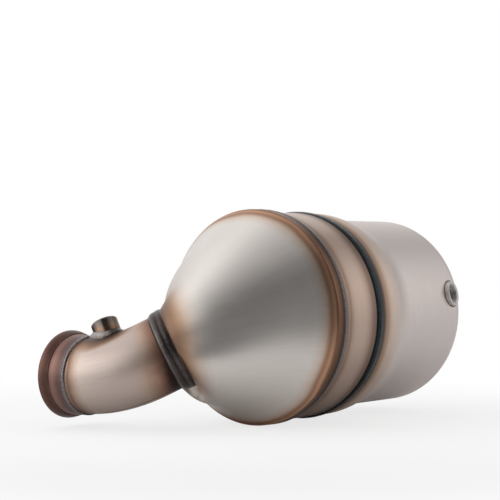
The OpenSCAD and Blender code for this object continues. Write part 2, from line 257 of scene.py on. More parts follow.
def ripple(bm, pitch, depth, low, high):
    across = bm.verts.layers.float.new("across")
    steps = bm.verts.layers.float.new("steps")
    grain = bm.verts.layers.float_vector.new("grain")
    bm.normal_update()
    moves = []
    for v in bm.verts:
        radius = math.hypot(v.co.x, v.co.y)
        turn = math.atan2(v.co.y, v.co.x)
        side = min(max((v.co.z / mm - low) / (high - low), 0), 1) * 2 - 1
        place = Vector((math.cos(turn), math.sin(turn), 0)) * pool["wanderPace"] + Vector((0, 0, radius))
        lag = side * side * pool["bow"] + noise.noise(place) * pool["wander"]
        wave = math.cos(turn * round(2 * math.pi * radius / mm / pitch) + lag * 2 * math.pi)
        v[across] = side
        v[steps] = wave * 0.5 + 0.5
        v[grain] = v.co
        fade = max(0, 1 - side ** 4)
        lump = noise.noise(v.co * pool["lumpPace"]) * pool["lump"]
        moves.append((v, v.normal * (wave * pool["step"] + lump) * depth * mm * fade))
    for v, move in moves:
        v.co += move


def ringWeld(bead, place, name, material, nodes):  # a rippled bead turned round an axis
    radius, low = bead["from"]
    high = bead["to"][1]
    peak = (radius + bead["crown"], low + bead["peak"] * (high - low))
    crown = swollen(bead["from"], peak, bead["to"], bead["points"])
    bm = lathe(crown + [(bead["foot"], high), (bead["foot"], low)], bead["steps"], closed=True)
    ripple(bm, bead["pitch"], bead["depth"], low, high)
    finishPiece(placed(bm, place), name, material, nodes, weldSharp)


# camera: level, a little above the can's axis, with a long lens
view = {"place": (-876.3, -915.1, 103.8), "heading": 39.4, "lens": 108, "sensor": 36, "near": 0.05}
camera = bpy.data.objects.new("camera", bpy.data.cameras.new("camera"))
camera.data.lens = view["lens"]
camera.data.sensor_width = view["sensor"]
camera.data.clip_start = view["near"]
camera.location = [c * mm for c in view["place"]]
camera.rotation_euler = (math.radians(90), 0, math.radians(view["heading"] - 90))
bpy.context.scene.collection.objects.link(camera)
bpy.context.scene.camera = camera
bpy.context.scene.view_settings.view_transform = "Standard"
cameraWay = headingWay(view["heading"])


# elbow's path: the bend starts at the flange's end, in a plane rolled about the flange's axis
elbow = {"radius": 31.75, "wall": 1.5, "bendRadius": 74, "bendAngle": 46, "roll": 38, "flangeDepth": 23,
         "run": 21, "lap": 3, "sides": 144, "steps": 48, "runSteps": 12, "seamTurn": -38}
rolled = Matrix.Rotation(math.radians(-elbow["roll"]), 4, "Y")
bendAt = Vector((elbow["bendRadius"], -elbow["flangeDepth"], 0)) * mm
bendAxis = rolled @ Vector((0, 0, 1))
bendEnd = math.radians(elbow["bendAngle"])
bendLength = elbow["bendRadius"] * mm * bendEnd
neckOut = rolled @ Vector((-math.sin(bendEnd), math.cos(bendEnd), 0))  # points back out of the cone
bendStart = rolled @ Vector((0, -elbow["flangeDepth"] * mm, 0))
bendStop = rolled @ (bendAt - Vector((math.cos(bendEnd), math.sin(bendEnd), 0)) * elbow["bendRadius"] * mm)
neckCentre = bendStop - neckOut * elbow["run"] * mm
onNeck = Matrix.Translation(neckCentre) @ neckOut.to_track_quat("Z", "Y").to_matrix().to_4x4()
pipeLength = bendLength + elbow["run"] * mm


def pipePoint(point):  # (distance along the pipe, distance from its centre line, turn around it)
    local = rolled.inverted() @ point - bendAt
    past = (bendStop - point).dot(neckOut)
    if past > 0:
        away = point - bendStop + neckOut * past
        outward = (bendStop - rolled @ bendAt).normalized()
        return bendLength + past, away.length, math.atan2(away.dot(bendAxis), away.dot(outward))
    out = math.hypot(local.x, local.y) - elbow["bendRadius"] * mm
    return (elbow["bendRadius"] * mm * math.atan2(-local.y, -local.x), math.hypot(out, local.z),
            math.atan2(local.z, out))


def pipeReach(point):
    return pipePoint(point)[1] - elbow["radius"] * mm


# filter shell's outline, also used to seat the rear boss
can = {"radius": 82.5, "wall": 1.5, "taperFrom": 82.7, "taperTo": 99.3, "taperRound": 8, "taperSteps": 10,
       "shoulderFrom": 180, "shoulderRadius": 18, "corner": 192.6, "shoulder": 12.6, "shoulderSteps": 16,
       "collarRadius": 28.6, "collarFrom": 212.2, "collarTo": 222.2, "collarRound": 2.5, "collarSteps": 5,
       "sides": 240}


def canReach(point):
    station = (point.x - rimCentre.x) / mm - can["shoulderFrom"]
    drop = can["shoulderRadius"] - math.sqrt(max(can["shoulderRadius"] ** 2 - max(station, 0) ** 2, 0))
    return math.hypot(point.y - rimCentre.y, point.z - rimCentre.z) - (can["radius"] - drop) * mm


seat = {"low": -24, "high": 10, "halvings": 40}


def seatOn(place, x, y, reach):  # local height at which a boss's axis line through x, y meets a surface
    low, high = seat["low"] * mm, seat["high"] * mm
    for i in range(seat["halvings"]):
        middle = (low + high) / 2
        if reach(place @ Vector((x, y, middle))) > 0:
            high = middle
        else:
            low = middle
    return low


portDepth = {"front_sensor_port": 5, "rear_sensor_port": 4}  # from a boss's top face down to its mount


def bossPlace(mount):  # local z runs out of the port, from the boss's top face
    axis = Vector(mounts[mount]["axis"]).normalized()
    top = Vector(mounts[mount]["pos_m"]) + axis * portDepth[mount] * mm
    return Matrix.Translation(top) @ axis.to_track_quat("Z", "Y").to_matrix().to_4x4()


frontPlace = bossPlace("front_sensor_port")
rearPlace = bossPlace("rear_sensor_port")


# thread in a port: where it leads in, where its first crest is, and how a crest lies in its pitch
thread = {"mouth": 0.4, "lead": 0.9, "first": 1.1, "crest": 0.45, "root": 0.9, "sink": 0.4, "foot": 0.05}


def threadedBoss(place, boss, reach):  # a turned and tapped boss, its foot cut to its seat
    outline = [(boss["radius"], -boss["length"]), (boss["radius"], -boss["chamfer"]),
               (boss["radius"] - boss["chamfer"], 0), (boss["major"] + thread["mouth"], 0),
               (boss["minor"], -thread["lead"])]
    crest = -thread["first"]
    while crest - boss["pitch"] > -boss["threadTo"]:
        outline += [(boss["minor"], crest), (boss["major"], crest - boss["pitch"] * thread["crest"]),
                    (boss["minor"], crest - boss["pitch"] * thread["root"])]
        crest -= boss["pitch"]
    outline += [(boss["minor"], -boss["threadTo"]),
                (boss["tip"], boss["tip"] - boss["minor"] - boss["threadTo"]), (boss["tip"], -boss["length"])]
    bm = lathe(outline, boss["sides"], closed=True)
    rise = bm.verts.layers.float.new("rise")
    for v in bm.verts:
        if v.co.z < -(boss["length"] - thread["foot"]) * mm and reach:
            v.co.z = seatOn(place, v.co.x, v.co.y, reach) - thread["sink"] * mm
    for v in bm.verts:
        v[rise] = -v.co.z
    return placed(bm, place)


# a fillet's run: how it sinks into the sheet, widens to one side and steps unevenly
fillet = {"points": 8, "heel": 0.9, "sunk": -0.3, "bias": 1.5, "uneven": 0.12, "unevenPace": 3, "slant": 2.2,
          "drift": 2.5, "driftLift": 0.4, "driftPace": 4, "swell": 0.6, "swellFrom": -0.1, "lap": 0.15}


def filletWeld(place, weld, reach):  # a fillet that follows a boss round a curved surface
    crown = swollen((0, 1), (weld["crown"], weld["crown"]), (1, 0), fillet["points"])
    root = [(fillet["heel"], fillet["sunk"]), (0, fillet["sunk"])]
    bm = lathe([(weld["radius"] + u, w) for u, w in crown + root], weld["sides"], closed=True)
    across = bm.verts.layers.float.new("across")
    steps = bm.verts.layers.float.new("steps")
    heading = bm.verts.layers.float.new("heading")
    grain = bm.verts.layers.float_vector.new("grain")
    for v in bm.verts:
        turn = math.atan2(v.co.y, v.co.x)
        out = math.hypot(v.co.x, v.co.y) / mm - weld["radius"]
        up = v.co.z / mm
        way = math.cos(turn - math.radians(weld["widest"]))
        leg = weld["leg"] + (weld["legWide"] - weld["leg"]) * (way * 0.5 + 0.5) ** fillet["bias"]
        around = Vector((math.cos(turn), math.sin(turn), 0))
        leg *= 1 + fillet["uneven"] * noise.noise(around * fillet["unevenPace"])
        drift = noise.noise((around + Vector((0, 0, fillet["driftLift"]))) * fillet["driftPace"])
        wave = math.cos(turn * weld["ripples"] + out * fillet["slant"] + drift * fillet["drift"])
        swell = fillet["swell"] if up > fillet["swellFrom"] else 0
        bulge = 1 + (weld["depth"] / leg) * wave * swell
        radius = (weld["radius"] - fillet["lap"] + out * leg * bulge) * mm
        x, y = radius * math.cos(turn), radius * math.sin(turn)
        v.co = (x, y, seatOn(place, x, y, reach) + up * leg * bulge * weld["climb"] * mm)
        v[across] = out * 2 - 1
        v[steps] = wave * 0.5 + 0.5
        v[heading] = way
        v[grain] = v.co
    bmesh.ops.recalc_face_normals(bm, faces=bm.faces[:])
    return placed(bm, place)


# cone's law: sections on a curved path that shrink and lean over from the rim to the neck
cone = {"wall": 2, "collar": 4, "socket": 8, "rimPull": 33, "neckPull": 2, "rimFullness": 0.46,
        "neckFullness": 0.44, "lateLean": 1.9, "rimRadius": 90.2, "neckRadius": 33.9,
        "taut": (0.7, -0.55, 0.25), "tautLength": 80, "tautStart": 0.3, "tautEnd": 0.4,
        "sides": 192, "steps": 64}
socketAt = rimCentre - canWay * cone["socket"] * mm
collarAt = neckCentre - neckOut * cone["collar"] * mm
conePath = [socketAt, socketAt - canWay * cone["rimPull"] * mm, collarAt - neckOut * cone["neckPull"] * mm,
            collarAt]
coneSwell = [1, cone["rimFullness"], cone["neckFullness"], 0]


def cubic(p, s):
    return (1 - s) ** 3 * p[0] + 3 * (1 - s) ** 2 * s * p[1] + 3 * (1 - s) * s * s * p[2] + s ** 3 * p[3]


def sectionPlace(centre, way):
    side = Vector((0, 0, 1)).cross(way).normalized()
    return Matrix.Translation(centre) @ Matrix((side, way.cross(side), way)).transposed().to_4x4()


print("laws ready")


# weld metal as it froze: fine scales, coloured darker in their valleys than on their crests, and toes that
# tone off into the sheet
sooting = {"dark": 0.55, "smoother": 0.1, "rougher": 0.15, "grit": 0.7, "pits": 0.25, "pitDepth": 0.12}


def weldMetal(finish):
    material, tree, shader = newMaterial(finish["name"])
    across, steps, grain = [addNode(tree, "Attribute", attribute_name=name)
                            for name in ("across", "steps", "grain")]
    place = addNode(tree, "TexCoord")
    stretch = (finish["along"], finish["along"], 1.0)
    soot = streaks(tree, grain.outputs["Vector"], stretch, finish["streak"], 4.0)
    streak = addNode(tree, "MapRange", {
        "Value": soot, "From Min": noiseLow, "From Max": noiseHigh, "To Min": sooting["dark"]})
    scales = addNode(tree, "Mix", {
        0: steps.outputs["Fac"], 6: linear(finish["valley"]), 7: linear(finish["crest"])}, data_type="RGBA")
    share = addNode(tree, "MapRange", {"Value": across.outputs["Fac"], "From Min": -1.0})
    toes = addNode(tree, "ValToRGB", {"Fac": share}, stops=finish["toes"])
    rough = addNode(tree, "MapRange", {
        "Value": soot, "To Min": finish["rough"] - sooting["smoother"],
        "To Max": finish["rough"] + sooting["rougher"]})
    grit = addNode(tree, "TexNoise", {
        "Vector": place.outputs["Object"], "Detail": 2.0, "Scale": 1 / (sooting["grit"] * mm)})
    pits = addNode(tree, "Bump", {
        "Height": grit, "Strength": sooting["pits"], "Distance": sooting["pitDepth"] * mm})
    colour = layered(tree, scales.outputs[2], toes, streak)
    plug(tree, shader, {"Base Color": colour, "Roughness": rough, "Normal": pits, "Metallic": 1.0})
    return material


grayWeld = weldMetal({"name": "bareWeldMetal", "crest": "#989190", "valley": "#746d6b", "rough": 0.28,
                      "along": 1.0, "streak": 2.2,
                      "toes": ((0.0, "#93837c"), (1.0, "#c9b2a6"), (0.12, "#b3a49d"), (0.3, "#efe9e8"),
                               (0.45, "#ffffff"), (0.75, "#f0eae8"))})
charcoalWeld = weldMetal({"name": "sootedWeldMetal", "crest": "#8b8584", "valley": "#827c7a", "rough": 0.34,
                          "along": 0.12, "streak": 0.9,
                          "toes": ((0.0, "#ffd6b8"), (1.0, "#6a5f5a"), (0.04, "#e0c2ae"), (0.08, "#a0948e"),
                                   (0.14, "#8f8988"), (0.3, "#b0abaa"), (0.43, "#8d8886"), (0.5, "#5c5755"),
                                   (0.56, "#8f8a88"), (0.76, "#a8a3a1"), (0.85, "#e8e3e1"),
                                   (0.92, "#a8a09c"))})
blackWeld = weldMetal({"name": "blueBlackWeldOxide", "crest": "#43464a", "valley": "#303336", "rough": 0.3,
                       "along": 0.3, "streak": 1.6,
                       "toes": ((0.0, "#ffd8c0"), (1.0, "#ffffff"), (0.05, "#d8c2b4"), (0.1, "#a89c94"),
                                (0.25, "#d8e2e2"), (0.55, "#eef2f6"), (0.7, "#ffffff"))})
print("weld finishes ready")


# inlet cone: brushed stainless sheet, pressed. Soft streaks run from neck to rim, and the welds' heat
# has left straw, then orange, then dark brown along both edges; near the rim that tint also carries a painted
# highlight
coneSteel = {"stretch": (1.0, 1.0, 0.03), "streak": 0.6, "smooth": 0.35, "rough": 0.43, "relief": 0.08,
             "depth": 0.05}
# painted highlight: the bright tan band about 9 to 12 mm from the rim; painted shade: the darker band just
# past it, about 13 mm out; the rest is heat tint
rimTintAndPaintedHighlight = {"patch": 22, "swing": 1.2, "from": 0, "to": 26, "stops": (
    (0.0, "#4a423f"), (1.0, "#ffffff"), (0.07, "#5c4c45"), (0.17, "#846350"), (0.28, "#8e6b57"),
    (0.34, "#a88068"), (0.4, "#dab296"), (0.45, "#d2a88c"), (0.52, "#b6917a"), (0.58, "#cbab96"),
    (0.66, "#ead8cb"), (0.76, "#f8ede5"), (0.88, "#fcf8f4"))}
neckTint = {"patch": 22, "swing": 1.2, "from": 0, "to": 33, "stops": (
    (0.0, "#6a5f5c"), (1.0, "#ffffff"), (0.12, "#8a7366"), (0.18, "#9a7f6e"), (0.27, "#a08370"),
    (0.36, "#b1957f"), (0.47, "#cab09c"), (0.57, "#dfcbbd"), (0.68, "#eee2da"), (0.82, "#f8f4f1"))}
# how the tint distances shift: an amount, then where it starts and is full in mm, by height or,
# for rimFar, by the way to the far side. The rim's tint narrows underneath, on top and toward the far side;
# the neck's colour is lighter underneath and darker on top, painted light and painted shade
coneTintAndShadeShift = {"rimUnder": (0.25, 0, -25), "rimTop": (0.04, 55, 95), "rimFar": (0.7, 15, 70), "neck": 2,
            "neckUnder": (4, 8, -15), "neckTop": (4, 20, 48)}
brushedSheet, tree, shader = newMaterial("brushedStainlessSheet")
grain, fromRim, fromNeck = [addNode(tree, "Attribute", attribute_name=name)
                            for name in ("grain", "fromRim", "fromNeck")]
brush = streaks(tree, grain.outputs["Vector"], coneSteel["stretch"], coneSteel["streak"], 3.0)
steelTone = addNode(tree, "ValToRGB", {"Fac": brush}, stops=((noiseLow, "#ccc6c1"), (noiseHigh, "#d4cec9")))
sheetColour = layered(tree, steelTone, heatTint(tree, fromRim.outputs["Fac"], rimTintAndPaintedHighlight),
                      heatTint(tree, fromNeck.outputs["Fac"], neckTint))
metalFinish(tree, shader, sheetColour, coneSteel, brush)

bm = bmesh.new()
rimLayer = bm.verts.layers.float.new("fromRim")
neckLayer = bm.verts.layers.float.new("fromNeck")
grainLayer = bm.verts.layers.float_vector.new("grain")
sections = [(rimCentre, -canWay, cone["rimRadius"])]
for i in range(cone["steps"] + 1):
    s = i / cone["steps"]
    lean = ease(s ** cone["lateLean"], 0, 1)
    swell = cone["neckRadius"] + (cone["rimRadius"] - cone["neckRadius"]) * cubic(coneSwell, s)
    sections.append((cubic(conePath, s), ((lean - 1) * canWay + lean * neckOut).normalized(), swell))
sections.append((neckCentre, neckOut, cone["neckRadius"]))
rings = []
for centre, way, radius in sections:
    made = bmesh.ops.create_circle(bm, segments=cone["sides"], radius=radius * mm,
                                   matrix=sectionPlace(centre, way))
    rings.append(made["verts"])
collarRing = len(rings) - 2
tautRing = collarRing
upper = max(range(cone["sides"]), key=lambda i: rings[collarRing][i].co.z)
while (rings[tautRing][upper].co - rings[collarRing][upper].co).length < cone["tautLength"] * mm:
    tautRing -= 1
for i in range(cone["sides"]):  # draws the sheet taut into the collar, but not on the underside
    line = [ring[i] for ring in rings]
    end, top = line[collarRing].co.copy(), line[tautRing].co.copy()
    above = shift((end - collarAt).normalized().z, cone["taut"])
    outward = (line[tautRing - 1].co - line[tautRing + 1].co).normalized()
    pulls = [end, end.lerp(top, cone["tautStart"]), top - outward * cone["tautEnd"] * (top - end).length, top]
    for j in range(tautRing + 1, collarRing):
        share = (collarRing - j) / (collarRing - tautRing)
        line[j].co = line[j].co.lerp(cubic(pulls, share), above)
for k, ring in enumerate(rings):  # lengths along the sheet from the rim
    for i, v in enumerate(ring):
        v[rimLayer] = rings[k - 1][i][rimLayer] + (v.co - rings[k - 1][i].co).length if k else 0
        turn = 2 * math.pi * i / cone["sides"]
        around = Vector((math.cos(turn), math.sin(turn), 0)) * cone["rimRadius"] * mm
        v[grainLayer] = around + Vector((0, 0, v[rimLayer]))
for ring in rings:
    for v, last in zip(ring, rings[-1]):
        v[neckLayer] = last[rimLayer] - v[rimLayer]
for v in bm.verts:
    height = v.co.z / mm
    v[rimLayer] *= 1 + shift(height, coneTintAndShadeShift["rimUnder"]) + shift(height, coneTintAndShadeShift["rimTop"])
    v[rimLayer] *= 1 + shift((v.co.y - rimCentre.y) / mm, coneTintAndShadeShift["rimFar"])
    # painted light and shade: the neck's tint reads lighter underneath and darker on top
    closer = shift(height, coneTintAndShadeShift["neckUnder"]) - shift(height, coneTintAndShadeShift["neckTop"])
    v[neckLayer] += (coneTintAndShadeShift["neck"] + closer) * mm
loops = [list({e for v in ring for e in v.link_edges}) for ring in rings]
for a, b in zip(loops, loops[1:]):
    bmesh.ops.bridge_loops(bm, edges=a + b)
bmesh.ops.recalc_face_normals(bm, faces=bm.faces[:])
bmesh.ops.solidify(bm, geom=bm.faces[:], thickness=cone["wall"] * mm)
finishPiece(bm, "inletCone", brushedSheet, ["inlet_cone"])


# inlet elbow: satin drawn tube. Grey-beige, brown at the neck weld, thin straw lines at the other welds
tubeSteel = {"stretch": (1.0, 1.0, 0.04), "streak": 0.6, "seam": 2.2, "neckCover": 10, "smooth": 0.43,
             "rough": 0.51, "relief": 0.06, "depth": 0.05}
runTint = {"patch": 14, "swing": 2, "from": 0, "to": pipeLength / mm - tubeSteel["neckCover"], "stops": (
    (0.0, "#8c7466"), (1.0, "#40332f"), (0.045, "#bcaa9f"), (0.07, "#a28573"), (0.1, "#ceb7a7"),
    (0.14, "#e8dbd1"), (0.2, "#faf4ef"), (0.35, "#f2ecea"), (0.68, "#efe8e4"), (0.76, "#ecdcd0"),
    (0.82, "#d8c0b0"), (0.88, "#b8998a"), (0.93, "#8f7468"), (0.97, "#5e4a44"))}
bossTint = {"from": 12, "to": 33, "stops": (
    (0.0, "#4a4442"), (1.0, "#ffffff"), (0.22, "#655951"), (0.4, "#8a7463"), (0.56, "#b59c89"),
    (0.72, "#dac8ba"), (0.86, "#f2e9e2"))}
# how far the tint reaches on top and underneath, from where along the pipe, and its fade down the sides
tubeHeat = {"top": (-8, 2, 34), "under": (3, 4, -18), "along": (1, 30, 52), "sides": (30, -22, -40)}
satinTube, tree, shader = newMaterial("satinDrawnTube")
run, fromBoss, seam, grain = [addNode(tree, "Attribute", attribute_name=name)
                              for name in ("run", "fromBoss", "seam", "grain")]
bossShare = addNode(tree, "MapRange", {
    "Value": fromBoss.outputs["Fac"], "From Min": bossTint["from"] * mm, "From Max": bossTint["to"] * mm})
bossTone = addNode(tree, "ValToRGB", {"Fac": bossShare}, stops=bossTint["stops"])
draw = streaks(tree, grain.outputs["Vector"], tubeSteel["stretch"], tubeSteel["streak"], 3.0)
tubeTone = addNode(tree, "ValToRGB", {"Fac": draw}, stops=((noiseLow, "#bdb2ac"), (noiseHigh, "#c6bbb5")))
seamShare = addNode(tree, "MapRange", {"Value": seam.outputs["Fac"], "From Max": tubeSteel["seam"] * mm})
seamTone = addNode(tree, "ValToRGB", {"Fac": seamShare}, stops=(
    (0.0, "#c8bab0"), (1.0, "#ffffff"), (0.25, "#b8a89c"), (0.5, "#f2ece6")))
tubeColour = layered(tree, tubeTone, heatTint(tree, run.outputs["Fac"], runTint), bossTone, seamTone)
metalFinish(tree, shader, tubeColour, tubeSteel, draw)

bm = bmesh.new()
facing = rolled @ Matrix.Rotation(math.radians(90), 4, "X")
bmesh.ops.create_circle(bm, segments=elbow["sides"], radius=elbow["radius"] * mm,
                        matrix=Matrix.Translation(bendStart) @ facing)
spun = bmesh.ops.spin(bm, geom=bm.verts[:] + bm.edges[:], cent=rolled @ bendAt, axis=bendAxis, angle=bendEnd,
                      steps=elbow["steps"])
last = [e for e in spun["geom_last"] if isinstance(e, bmesh.types.BMEdge)]
for i in range(elbow["runSteps"]):  # the straight run into the collar
    drawn = bmesh.ops.extrude_edge_only(bm, edges=last)["geom"]
    bmesh.ops.translate(bm, verts=[v for v in drawn if isinstance(v, bmesh.types.BMVert)],
                        vec=-neckOut * (elbow["run"] + elbow["lap"]) * mm / elbow["runSteps"])
    last = [e for e in drawn if isinstance(e, bmesh.types.BMEdge)]
bmesh.ops.remove_doubles(bm, verts=bm.verts[:], dist=mergeGap)
runLayer = bm.verts.layers.float.new("run")
bossLayer = bm.verts.layers.float.new("fromBoss")
seamLayer = bm.verts.layers.float.new("seam")
grainLayer = bm.verts.layers.float_vector.new("grain")
for v in bm.verts:
    along, turn = pipePoint(v.co)[::2]
    spread = shift(v.co.z / mm, tubeHeat["top"]) + shift(v.co.z / mm, tubeHeat["under"])
    v[runLayer] = along + spread * mm * shift(along / mm, tubeHeat["along"])
    local = frontPlace.inverted() @ v.co
    v[bossLayer] = math.hypot(local.x, local.y) + mm * shift(local.z / mm, tubeHeat["sides"])
    off = (turn - math.radians(elbow["seamTurn"]) + math.pi) % (2 * math.pi) - math.pi
    v[seamLayer] = abs(off) * elbow["radius"] * mm
    around = Vector((math.cos(turn), math.sin(turn), 0)) * elbow["radius"] * mm
    v[grainLayer] = around + Vector((0, 0, along))
bmesh.ops.recalc_face_normals(bm, faces=bm.faces[:])
bmesh.ops.solidify(bm, geom=bm.faces[:], thickness=elbow["wall"] * mm)
inletElbow = finishPiece(bm, "inletElbow", satinTube, ["inlet_elbow"])
cutHole(inletElbow, frontPlace, {"radius": 6.05, "low": -26, "high": 2, "sides": 96})


# inlet flange: turned steel under brown scale, darkest on its lip and by the weld, paler on its hub
flange = {"rim": 36.6, "land": 2, "grip": 7.5, "fall": 2.2, "hub": 33.65, "hubEnd": 32.75, "bore": 30.25,
          "depth": elbow["flangeDepth"], "edge": 0.5, "edgeSteps": 3, "heel": 0.3, "heelSteps": 2,
          "weld": 3.5, "sides": 160}
flangeScale = {"patch": 5, "swing": 0.6, "mottle": (0.88, 1.06), "stretch": (0.04, 1.0, 0.04), "streak": 0.8,
               "smooth": 0.3, "rough": 0.5, "relief": 0.12, "depth": 0.06}
scaledSteel, tree, shader = newMaterial("brownScaledTurnedSteel")
place = addNode(tree, "TexCoord")
split = addNode(tree, "SeparateXYZ", {"Vector": place.outputs["Object"]})
scale = addNode(tree, "TexNoise", {
    "Vector": place.outputs["Object"], "Detail": 5.0, "Scale": 1 / (flangeScale["patch"] * mm)})
sway = addNode(tree, "MapRange", {
    "Value": scale, "To Min": -flangeScale["swing"] * mm, "To Max": flangeScale["swing"] * mm})
depth = addNode(tree, "Math", {0: sway, 1: split.outputs["Y"]}, operation="SUBTRACT")
share = addNode(tree, "MapRange", {"Value": depth, "From Max": flange["depth"] * mm})
scaleTint = addNode(tree, "ValToRGB", {"Fac": share}, stops=(
    (0.0, "#5c463e"), (1.0, "#6c605e"), (0.09, "#6a4e46"), (0.14, "#634840"), (0.22, "#563f39"),
    (0.34, "#533c36"), (0.4, "#614741"), (0.45, "#785c55"), (0.57, "#81665d"), (0.68, "#775b52"),
    (0.8, "#674f49"), (0.93, "#5f4f4e")))
mottle = addNode(tree, "MapRange", {
    "Value": scale, "From Min": noiseLow, "From Max": noiseHigh, "To Min": flangeScale["mottle"][0],
    "To Max": flangeScale["mottle"][1]})
turned = streaks(tree, place.outputs["Object"], flangeScale["stretch"], flangeScale["streak"])
scaleColour = layered(tree, scaleTint, mottle)
metalFinish(tree, shader, scaleColour, flangeScale, turned, scale)

back = -flange["land"] - flange["grip"]
bm = lathe([(flange["bore"], 0), (flange["rim"], 0), (flange["rim"], -flange["land"]),
            (flange["rim"] - flange["fall"], back), (flange["hub"], back),
            (flange["hubEnd"], -flange["depth"]), (flange["bore"], -flange["depth"])],
           flange["sides"], closed=True)
for radius, station in ((flange["bore"], 0), (flange["rim"], 0), (flange["rim"], -flange["land"])):
    roundCorner(bm, radius, station, flange["edge"], flange["edgeSteps"])
for radius in (flange["rim"] - flange["fall"], flange["hub"]):
    roundCorner(bm, radius, back, flange["heel"], flange["heelSteps"])
finishPiece(placed(bm, onFlange), "inletFlange", scaledSteel, ["inlet_flange"])

# flange weld: a neat grey ring between the hub's end and the pipe
flangeBead = {"from": (flange["hubEnd"], -flange["depth"]),
              "to": (elbow["radius"], -flange["depth"] - flange["weld"]),
              "crown": 0.8, "peak": 0.6, "points": 8, "foot": 31.3, "steps": 900, "pitch": 1.5, "depth": 0.16}
ringWeld(flangeBead, onFlange, "flangeWeld", grayWeld, ["flange_weld"])


# front sensor boss: turned bar, polished by the tool; straw at its foot, grey toward the top. Its tool marks
# and the rear boss's are drawn coarser than real ones, which are too fine to show
frontBoss = {"radius": 11.25, "length": 18, "chamfer": 1.1, "minor": 8.25, "major": 9.0, "pitch": 1.5,
             "threadTo": 9.5, "tip": 6, "sides": 128, "sharp": 25}
frontBar = {"mark": 0.5, "smooth": 0.18, "rough": 0.3, "relief": 0.1, "depth": 0.04}
barTint = {"patch": 6, "swing": 2, "from": 0, "to": 15, "stops": (
    (0.0, "#6a6663"), (1.0, "#4e423c"), (0.15, "#6a625e"), (0.35, "#746961"), (0.55, "#8a7260"),
    (0.75, "#806754"), (0.88, "#63544a"))}
turnedBar, tree, shader = newMaterial("turnedBarHeatTinted")
rise = addNode(tree, "Attribute", attribute_name="rise")
toolMarks = addNode(tree, "TexNoise", {
    "Vector": rise.outputs["Vector"], "Detail": 2.0, "Scale": 1 / (frontBar["mark"] * mm)})
metalFinish(tree, shader, heatTint(tree, rise.outputs["Fac"], barTint), frontBar, toolMarks)
finishPiece(threadedBoss(frontPlace, frontBoss, pipeReach), "frontSensorBoss", turnedBar,
            ["front_sensor_boss"], frontBoss["sharp"])

# its fillet weld: glossy, its colour painted bright on the side turned toward the camera, a painted
# highlight, and charcoal on the far side
highlightAndSootWeld = weldMetal({"name": "paintedHighlightAndSootWeld", "crest": "#aca6a4", "valley": "#a09a98", "rough": 0.24,
                         "along": 1.0, "streak": 2.2,
                         "toes": ((0.0, "#b8aca6"), (1.0, "#8f827a"), (0.2, "#ffffff"), (0.7, "#f4efec"))})
farWay = {"from": 0.95, "to": 0.3, "soot": "#5e5a59", "highlightHeading": 167.93}  # a heading in degrees
tree = highlightAndSootWeld.node_tree
shader = tree.nodes["Principled BSDF"]
heading = addNode(tree, "Attribute", attribute_name="heading")
farSide = addNode(tree, "MapRange", {
    "Value": heading.outputs["Fac"], "From Min": farWay["from"], "From Max": farWay["to"]},
    interpolation_type="SMOOTHSTEP")
sootTone = addNode(tree, "Mix", {0: farSide, 6: (1, 1, 1, 1), 7: linear(farWay["soot"])}, data_type="RGBA")
plainTone = shader.inputs["Base Color"].links[0].from_socket
plug(tree, shader, {"Base Color": layered(tree, plainTone, sootTone.outputs[2])})
# the side with the painted highlight, turned toward the camera; the fillet is drawn widest there too
highlightSide = frontPlace.inverted().to_3x3() @ headingWay(farWay["highlightHeading"])
frontWeld = {"radius": 11.25, "leg": 3.4, "legWide": 4.8, "crown": 0.55, "climb": 1.0, "depth": 0.04,
             "widest": math.degrees(math.atan2(highlightSide.y, highlightSide.x)), "ripples": 37, "sides": 400}
finishPiece(filletWeld(frontPlace, frontWeld, pipeReach), "frontBossWeld", highlightAndSootWeld,
            ["front_boss_weld"], weldSharp)


# neck weld: two sooted passes side by side, from the cone's flare over the collar to the pipe
neckBead = {"from": -4.3, "firstPeak": -1.6, "groove": 2.2, "secondPeak": 5.4, "to": 8.2, "firstCrown": 1.3,
            "dip": 0.25, "secondCrown": 0.9, "foot": 31.3, "sunk": 0.4, "points": 7, "steps": 800,
            "pitch": 2.6, "depth": 0.09}
neckRadius = cone["neckRadius"]
groove = (neckRadius + neckBead["dip"], neckBead["groove"])
firstPass = swollen((neckRadius, neckBead["from"]),
                    (neckRadius + neckBead["firstCrown"], neckBead["firstPeak"]), groove, neckBead["points"])
secondPass = swollen(groove, (neckRadius + neckBead["secondCrown"], neckBead["secondPeak"]),
                     (elbow["radius"], neckBead["to"]), neckBead["points"])
bm = lathe(firstPass + secondPass[1:] + [(neckBead["foot"], neckBead["to"]), (neckBead["foot"], 0),
                                         (neckRadius - neckBead["sunk"], 0),
                                         (neckRadius - neckBead["sunk"], neckBead["from"])],
           neckBead["steps"], closed=True)
ripple(bm, neckBead["pitch"], neckBead["depth"], neckBead["from"], neckBead["to"])
finishPiece(placed(bm, onNeck), "neckWeld", charcoalWeld, ["neck_weld"], weldSharp)


